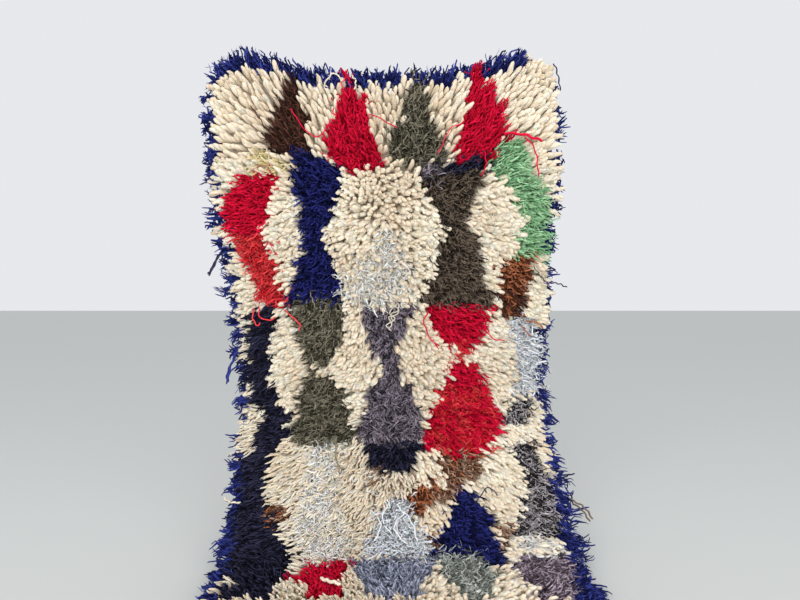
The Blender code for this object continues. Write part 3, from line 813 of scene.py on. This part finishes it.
def make_pile():
    """The pile: one piece for each yarn, and the ivory in one for each zone, under the pale fuzz too."""
    knots, yarn_numbers = tied_knots()
    across, along = knots[:2]
    zone_along = along + ZONE_RAGGED * wander(ZONE_ALONG, across, along)
    zone_across = across + ZONE_RAGGED * wander(ZONE_ACROSS, across, along)
    pieces = []
    for number, yarn in enumerate(YARNS):
        mine = yarn_numbers == number
        relief = WOOL_RELIEF if yarn.name == "ivory" else STRAND_RELIEF
        material = yarn_material(f"{yarn.name}_wool", yarn, relief)
        if yarn.name == "ivory":
            under = np.isin(yarn_numbers, [NUMBER[name] for name in FUZZ])
            height = np.where(under, UNDER_FUZZ, 1.0)
            for lobe in LOBES:
                some = (mine | under) & (zone_along >= lobe.start) & (zone_along < lobe.end)
                some &= (zone_across >= lobe.left) & (zone_across < lobe.right)
                pieces.append(tie_lobes(lobe, knots[:, some], height[some]))
                pieces[-1].data.materials.append(material)
        elif mine.any():
            pieces.append(tie_strands(yarn, knots[:, mine], STRAND_SEED + number))
            pieces[-1].data.materials.append(material)
    return pieces


# The tassels of one side of the rim: the places of its start and end, the way out there, how far apart
# the tassels are, how long at a few shares of the way, their strands, their curl, how far the tassels
# and the strands of one fan out, and how far they lift off the cloth
Run = namedtuple("Run", "start end way_start way_end pitch lengths strands curl fan fray lift")
TOP_LENGTHS = ((0, 0.032), (0.15, 0.036), (0.35, 0.032), (0.895, 0.033), (0.92, 0.013), (1, 0.010))
LEFT_LENGTHS = (
    (0, 0.038), (0.1, 0.044), (0.2, 0.054), (0.6, 0.052), (0.8, 0.046), (0.9, 0.036), (1, 0.036),
)
RIGHT_LENGTHS = (
    (0, 0.014), (0.06, 0.018), (0.08, 0.040), (0.3, 0.044), (0.55, 0.054), (0.7, 0.074), (0.8, 0.070),
    (1, 0.038),
)
END_LENGTHS = ((0, 0.036), (1, 0.036))
TOP = ((-HALF, 0.004), (HALF, 0.004), (-0.35, -1), (0.35, -1))
LEFT = ((-HALF, 0.010), (-HALF, CLOTH_LENGTH), (-1, 0.15), (-1, 0.5))
RIGHT = ((HALF, 0.010), (HALF, CLOTH_LENGTH), (1, -0.1), (1, 0.75))
END = ((-HALF, CLOTH_LENGTH), (HALF, CLOTH_LENGTH), (-0.25, 1), (0.25, 1))
RUNS = (
    Run(*TOP, 0.0150, TOP_LENGTHS, 8, 0.0024, 0.22, 0.13, 0.35),
    Run(*LEFT, 0.0195, LEFT_LENGTHS, 11, 0.0062, 0.36, 0.20, 0.55),
    Run(*RIGHT, 0.0225, RIGHT_LENGTHS, 11, 0.0078, 0.40, 0.22, 0.55),
    Run(*END, 0.0145, END_LENGTHS, 8, 0.0030, 0.20, 0.20, 0.35),
)

# The rim's yarn: its width, how uneven the tassels' places are in pitches, the least and most shares of
# their lengths, and how far the strands are tied apart and up from the back
RIM_WIDTH = 0.0052
TASSEL_STRAY = 0.16
TASSEL_LENGTHS = (0.62, 1.15)
TASSEL_APART = 0.0024
TASSEL_ROOTS = (0.001, 0.006)

# The least and most shares of the lift of a tassel and of its strands, where the rug lies and what is
# left of the lift there, the strands' lengths, their own curl beside the tassel's, the least height of
# a strand's spine, and the strands' widths and tints
TASSEL_LIFTS = (0.5, 1.5)
RIM_LIFTS = (0.7, 1.3)
LIES_FROM = 1.30
LYING_LIFT = 0.12
RIM_LENGTHS = (0.55, 1.08)
OWN_CURL = 0.6
LEAST_UP = 0.0018
RIM_WIDTHS = (0.7, 1.25)
RIM_TINTS = (0, 1.1)


def make_rim():
    """The blue yarn round the rim, in tassels of thin curling strands."""
    rng = np.random.default_rng(RIM_SEED)
    spines = []
    for run in RUNS:
        start = np.array(run.start)
        end = np.array(run.end)
        tassels = int(np.linalg.norm(end - start) / run.pitch)
        share = (np.arange(tassels) + 0.5 + rng.normal(0, TASSEL_STRAY, tassels)) / tassels
        owner = np.repeat(np.arange(tassels), run.strands)
        count = len(owner)
        place = start + (end - start) * share[:, None]
        out = np.array(run.way_start) + np.subtract(run.way_end, run.way_start) * share[:, None]
        length = np.interp(share, *zip(*run.lengths)) * rng.uniform(*TASSEL_LENGTHS, tassels)
        roots = np.zeros((count, 3))
        roots[:, :2] = place[owner] + rng.normal(0, TASSEL_APART, (count, 2))
        roots[:, 2] = rng.uniform(*TASSEL_ROOTS, count)
        turn = (rng.normal(0, run.fan, tassels)[owner] + rng.normal(0, run.fray, count))[:, None]
        across = np.stack([-out[:, 1], out[:, 0]], axis=1)[owner]
        lean = out[owner] * np.cos(turn) + across * np.sin(turn)
        lift = run.lift * rng.uniform(*TASSEL_LIFTS, tassels)[owner] * rng.uniform(*RIM_LIFTS, count)
        lift = np.where(roots[:, 1] > LIES_FROM, LYING_LIFT * lift, lift)
        length = length[owner] * rng.uniform(*RIM_LENGTHS, count)
        drawn = drawn_out(roots, lean / lift[:, None], length, CURL_STEPS, (1.0, 1.0))
        drawn = curled(drawn, CURL_STEPS, run.curl, rng, owner=owner)
        spines.append(curled(drawn, CURL_STEPS, OWN_CURL * run.curl, rng))
    spines = np.concatenate(spines)
    spines[:, :, 2] = np.maximum(spines[:, :, 2], LEAST_UP)
    width = RIM_WIDTH * rng.uniform(*RIM_WIDTHS, len(spines))
    radii = np.asarray(CURL_SHAPE)[None] * width[:, None] / 2
    tints = rng.uniform(*RIM_TINTS, len(spines))
    rim = tubes("rim_yarn", spines, radii, CURL_STEPS, 1.0, STRAND_SIDES, tints)
    rim.data.materials.append(yarn_material("rim_wool", YARNS[NUMBER["blue"]], STRAND_RELIEF))
    return rim


# The ground cloth's two faces, and the colours of its weft
WEAVE = {"Roughness": 0.92, "Specular IOR Level": 0.15, "Sheen Weight": 0.2}
DULL = {"Roughness": 1.0, "Specular IOR Level": 0.0}
WEFT_DARK = (0.42, 0.35, 0.25, 1)
WEFT_LIGHT = (0.66, 0.58, 0.45, 1)
WARP_HEIGHT = 0.35


def cloth_material():
    """The ground's back: rows of weft, with each knot's yarn showing as a dash."""
    material, tree, shader = new_material("ground_weave", WEAVE)
    place = node(tree, "UVMap", uv_map="cloth").outputs["UV"]
    split = node(tree, "SeparateXYZ", {"Vector": place})
    rows = worked_out(tree, "MULTIPLY", split.outputs["Y"], 2 * math.pi / ROW_PITCH)
    ridge = worked_out(tree, "COSINE", rows)
    warps = worked_out(tree, "MULTIPLY", split.outputs["X"], 2 * math.pi / (KNOT_PITCH / 2))
    cord = worked_out(tree, "COSINE", warps)
    dash = mapped(tree, ridge, {"From Min": -0.35, "From Max": 0.25})
    fuzz = node(tree, "TexNoise", {"Vector": place, "Scale": 900.0, "Detail": 3.0}).outputs["Fac"]
    weft = mixed(tree, "MIX", fuzz, WEFT_DARK, WEFT_LIGHT)
    colour = mixed(tree, "MIX", dash, weft, attribute(tree, "knots", "Color"))
    height = worked_out(tree, "MULTIPLY_ADD", cord, WARP_HEIGHT, ridge)
    bump = node(tree, "Bump", {"Strength": 0.9, "Distance": 0.0016, "Height": height})
    feed(tree, shader, {"Base Color": colour, "Normal": bump.outputs["Normal"]})
    return material


def gap_shade_material():
    """The ground between the knots: each knot's own yarn colour, darkened as painted shade between the
    knots.
    """
    material, tree, shader = new_material("pile_base", DULL)
    place = node(tree, "UVMap", uv_map="cloth").outputs["UV"]
    fuzz = node(tree, "TexNoise", {"Vector": place, "Scale": 420.0}).outputs["Fac"]
    # Painted shade: the yarn's colour is cut to between 0.38 and 0.62 of itself, as shade down between the
    # knots
    limits = {"From Min": 0.3, "From Max": 0.7, "To Min": 0.38, "To Max": 0.62}
    depth = mapped(tree, fuzz, limits)
    shade = mixed(tree, "MULTIPLY", 1.0, attribute(tree, "knots", "Color"), depth)
    feed(tree, shader, {"Base Color": shade})
    return material


def make_cloth():
    """The ground cloth: a closed thin sheet on the folds of the hang."""
    columns = int(CLOTH_WIDTH / KNOT_PITCH) + 1
    rows = int(CLOTH_LENGTH / ROW_PITCH) + 1
    across, along = np.meshgrid(np.linspace(-HALF, HALF, columns), np.linspace(0, CLOTH_LENGTH, rows))
    back = np.stack([across.ravel(), along.ravel(), np.zeros(across.size)], axis=1)
    front = back + (0, 0, CLOTH_THICK)
    flat = np.concatenate([back, front])
    half = columns * rows
    index = np.arange(half).reshape(rows, columns)
    square = (index[:-1, :-1], index[:-1, 1:], index[1:, 1:], index[1:, :-1])
    cells = np.stack(square, axis=-1).reshape(-1, 4)
    loop = np.concatenate([index[0, :-1], index[:-1, -1], index[-1, :0:-1], index[:0:-1, 0]])
    ahead = np.roll(loop, -1)
    edge = np.stack([ahead, loop, loop + half, ahead + half], axis=1)
    faces = np.concatenate([cells, cells[:, ::-1] + half, edge])
    mesh = bpy.data.meshes.new("ground_cloth")
    mesh.from_pydata(hung(flat).tolist(), [], faces.tolist())
    mesh.polygons.foreach_set("use_smooth", np.ones(len(faces), dtype=bool))
    in_front = np.zeros(len(faces), dtype=np.int32)
    in_front[len(cells) : 2 * len(cells)] = 1
    layer = mesh.uv_layers.new(name="cloth")
    corners = flat[faces.ravel()][:, :2]
    layer.data.foreach_set("uv", np.ascontiguousarray(corners, dtype=np.float32).ravel())
    middles = flat[faces].mean(axis=1)
    yarns = yarn_of(middles[:, 0], middles[:, 1])
    tones = np.array([[*np.mean([yarn.dark, yarn.light], axis=0), 1.0] for yarn in YARNS])
    give(mesh, "knots", "FLOAT_COLOR", np.repeat(tones[yarns], 4, axis=0).ravel(), "CORNER")
    mesh.update()
    cloth = put_in("ground_cloth", mesh)
    cloth.data.materials.append(cloth_material())
    cloth.data.materials.append(gap_shade_material())
    mesh.polygons.foreach_set("material_index", in_front)
    return cloth


# Loose ends and loops over the pile: the yarn, its width, and where it goes, across and along
STRAYS = (
    ("crimson", 0.0028, (-0.215, 0.085), (-0.195, 0.115), (-0.16, 0.14), (-0.125, 0.105)),
    ("crimson", 0.0026, (-0.045, 0.1), (-0.03, 0.082), (-0.005, 0.092), (0.035, 0.115)),
    ("crimson", 0.0026, (-0.085, -0.005), (-0.095, 0.015), (-0.08, 0.045)),
    ("crimson", 0.0026, (-0.08, -0.005), (-0.076, 0.02), (-0.08, 0.045)),
    ("crimson", 0.0024, (0.19, 0.11), (0.158, 0.12), (0.142, 0.15), (0.128, 0.18)),
    ("crimson", 0.006, (0.285, 0.155), (0.325, 0.16), (0.355, 0.168), (0.378, 0.172)),
    ("crimson", 0.0034, (0.335, 0.165), (0.358, 0.19), (0.366, 0.22), (0.37, 0.25)),
    ("crimson", 0.003, (0.238, 0.18), (0.243, 0.212), (0.232, 0.238)),
    ("crimson", 0.0034, (0.108, 0.575), (0.092, 0.605), (0.104, 0.645), (0.132, 0.685)),
    ("crimson", 0.0034, (0.255, 0.6), (0.257, 0.635), (0.282, 0.658), (0.308, 0.66)),
    ("brown", 0.003, (-0.31, 0.1), (-0.29, 0.125), (-0.272, 0.148)),
    ("coral", 0.0036, (-0.36, 0.575), (-0.364, 0.605), (-0.352, 0.622), (-0.344, 0.612)),
    ("coral", 0.0036, (-0.345, 0.57), (-0.345, 0.597), (-0.322, 0.606), (-0.3, 0.598)),
    ("coral", 0.0036, (-0.278, 0.578), (-0.252, 0.602), (-0.238, 0.618), (-0.246, 0.634)),
    ("ivory", 0.0036, (-0.137, 0.02), (-0.122, -0.006), (-0.105, -0.01), (-0.094, 0.008)),
    ("ivory", 0.0036, (-0.076, -0.012), (-0.063, 0.002), (-0.065, 0.024)),
    ("ivory", 0.0036, (-0.074, 0.52), (-0.08, 0.59), (-0.07, 0.64), (-0.076, 0.69)),
    ("ivory", 0.003, (0.022, 0.56), (0.001, 0.582), (0.014, 0.6), (-0.01, 0.618), (0.006, 0.634)),
    ("ivory", 0.003, (0.026, 0.56), (0.024, 0.584), (-0.002, 0.596), (0.006, 0.616), (-0.006, 0.63)),
    ("ivory", 0.0026, (0.006, 0.56), (0.024, 0.574), (0.004, 0.59), (0.016, 0.61)),
    ("ivory", 0.0056, (-0.44, 1.094), (-0.418, 1.108), (-0.392, 1.11)),
    ("ivory", 0.008, (-0.175, 1.365), (-0.155, 1.385), (-0.128, 1.398)),
    ("olive", 0.0026, (-0.222, 0.685), (-0.208, 0.718), (-0.182, 0.738)),
    ("olive", 0.0026, (-0.206, 0.53), (-0.194, 0.572)),
    ("olive", 0.004, (-0.155, 0.945), (-0.157, 0.985), (-0.152, 1.015), (-0.136, 1.03)),
    ("blue", 0.006, (-0.424, 0.7), (-0.444, 0.742), (-0.456, 0.785)),
    ("blue", 0.0046, (-0.428, 0.715), (-0.452, 0.752), (-0.46, 0.79)),
    ("midnight", 0.005, (-0.43, 0.435), (-0.452, 0.466), (-0.466, 0.492)),
    ("midnight", 0.005, (-0.434, 0.435), (-0.448, 0.466), (-0.47, 0.488)),
    ("charcoal", 0.003, (0.375, 0.462), (0.392, 0.486), (0.412, 0.508)),
    ("charcoal", 0.005, (0.44, 1.098), (0.468, 1.118), (0.484, 1.15)),
    ("charcoal", 0.0044, (0.442, 1.106), (0.462, 1.128), (0.474, 1.158)),
    ("rust", 0.004, (0.366, 0.612), (0.394, 0.616), (0.412, 0.634)),
    ("rust", 0.0034, (0.352, 0.624), (0.376, 0.654)),
    ("midnight", 0.0034, (0.425, 0.508), (0.446, 0.512), (0.47, 0.524)),
    ("midnight", 0.003, (0.196, 1.116), (0.23, 1.078), (0.254, 1.098)),
    ("midnight", 0.0034, (0.415, -0.018), (0.424, 0.012), (0.42, 0.052)),
    ("silver", 0.0034, (-0.068, 1.13), (-0.042, 1.175), (-0.06, 1.226)),
    ("silver", 0.0034, (-0.018, 1.11), (-0.038, 1.16), (-0.012, 1.21)),
    ("silver", 0.0034, (0.018, 1.14), (-0.01, 1.185), (0.022, 1.236)),
    ("silver", 0.003, (-0.002, 1.12), (0.032, 1.165), (0.046, 1.226)),
    ("silver", 0.003, (0.35, 0.668), (0.38, 0.662), (0.414, 0.658)),
)

# How high a stray lies, its sides and points, its rise in the middle, its dip at the start, its waves
STRAY_UP = 0.041
STRAY_SIDES = 5
STRAY_STEPS = 21
STRAY_RISE = 0.003
STRAY_DIP = 0.004
STRAY_WAVE = 0.0012
STRAY_WAVES = 3
STRAY_TINTS = (0.5, 1.1)


def smooth_route(points, count):
    """Points evenly along a smooth curve through the given ones."""
    given = np.asarray(points, dtype=float)
    given = np.concatenate([[2 * given[0] - given[1]], given, [2 * given[-1] - given[-2]]])
    at = np.linspace(0, len(points) - 1, count)
    span = np.minimum(at.astype(int), len(points) - 2)
    t = (at - span)[:, None]
    a, b, c, d = (given[span + shift] for shift in range(4))
    square = (2 * a - 5 * b + 4 * c - d) * t**2
    cube = (3 * b - a - 3 * c + d) * t**3
    return 0.5 * (2 * b + (c - a) * t + square + cube)


def make_strays(materials):
    """Loose ends and loops that lie over the pile, in one piece for each yarn."""
    rng = np.random.default_rng(STRAY_SEED)
    share = np.linspace(0, 1, STRAY_STEPS)
    shape = np.where(share < 1, 1.0, 0.0)
    made = []
    for name in sorted({yarn for yarn, *_ in STRAYS}):
        mine = [(width, route) for yarn, width, *route in STRAYS if yarn == name]
        spines = np.full((len(mine), STRAY_STEPS, 3), STRAY_UP)
        for spine, (_, route) in zip(spines, mine):
            spine[:, :2] = smooth_route(route, STRAY_STEPS)
            spine[:, 2] += STRAY_RISE * np.sin(math.pi * share) - STRAY_DIP * (1 - share)
            waves = STRAY_WAVES * share[:, None] + rng.uniform(0, 1, 3)
            spine += STRAY_WAVE * np.sin(2 * math.pi * waves)
        radii = np.array([shape * width / 2 for width, _ in mine])
        tints = rng.uniform(*STRAY_TINTS, len(mine))
        made.append(tubes("strays_" + name, spines, radii, share, 1.0, STRAY_SIDES, tints))
        made[-1].data.materials.append(materials[name + "_wool"])
    return made


# The studio: its floor and its backdrop, and its lamps, each a soft square
FLOOR_SIZE = 14
FLOOR_LOOK = {"Base Color": (0.58, 0.60, 0.58, 1), "Roughness": 0.75}
STUDIO_COLOUR = (0.80, 0.81, 0.84, 1)
Lamp = namedtuple("Lamp", "name place aim size power")
LAMPS = (
    Lamp("key", (-1.1, -2.9, 1.1), (0.0, -0.1, -0.6), 2.6, 47),
    Lamp("fill", (2.0, -2.7, 0.3), (0.0, -0.1, -0.6), 2.6, 28),
    Lamp("low", (0.1, -3.0, -0.4), (0.0, -0.1, -0.9), 1.5, 25),
)


def make_stage(floor):
    """A plain pale floor, soft light and the photograph's camera."""
    bpy.ops.mesh.primitive_plane_add(size=FLOOR_SIZE, location=(0, 0, floor))
    ground = bpy.context.object
    ground.name = "floor"
    ground.data.materials.append(new_material("floor", FLOOR_LOOK)[0])
    world = bpy.data.worlds.new("studio")
    bpy.context.scene.world = world
    world.use_nodes = True
    backdrop = world.node_tree.nodes["Background"]
    feed(world.node_tree, backdrop, {"Color": STUDIO_COLOUR, "Strength": 1.0})
    for lamp in LAMPS:
        light = bpy.data.lights.new(lamp.name, "AREA")
        light.size = lamp.size
        light.energy = lamp.power
        aim_at(put_in(lamp.name, light), lamp.place, lamp.aim)
    camera = bpy.data.cameras.new("camera")
    camera.sensor_width = SENSOR
    camera.lens = FOCAL_PIXELS / IMAGE_WIDTH * SENSOR
    thing = put_in("camera", camera)
    thing.location = (CAMERA_ACROSS, -CAMERA_BACK, floor + CAMERA_HEIGHT)
    thing.rotation_euler = (math.radians(90 - CAMERA_PITCH), 0, 0)
    bpy.context.scene.camera = thing
    bpy.context.scene.view_settings.view_transform = "Standard"


def aim_at(thing, place, target):
    """Puts a lamp in its place, pointed at the target."""
    thing.location = place
    way = np.subtract(target, place)
    thing.rotation_euler = (
        math.atan2(math.hypot(way[0], way[1]), -way[2]),
        0,
        math.atan2(way[0], -way[1]) + math.pi,
    )


# A place along the rug where its back lies on the floor
ON_FLOOR = 1.5


def main():
    """The whole scene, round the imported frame."""
    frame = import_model()
    floor = float(hung(np.array([[0.0, ON_FLOOR, 0.0]]))[0, 2])
    cloth = make_cloth()
    pile = make_pile()
    rim = make_rim()
    strays = make_strays(bpy.data.materials)
    for piece in (cloth, *pile, rim, *strays):
        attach(piece, "root")
    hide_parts("rug_slab")
    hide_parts(*[name for name in frame["nodes"] if name.startswith("rim_locks")])
    make_stage(floor)


main()
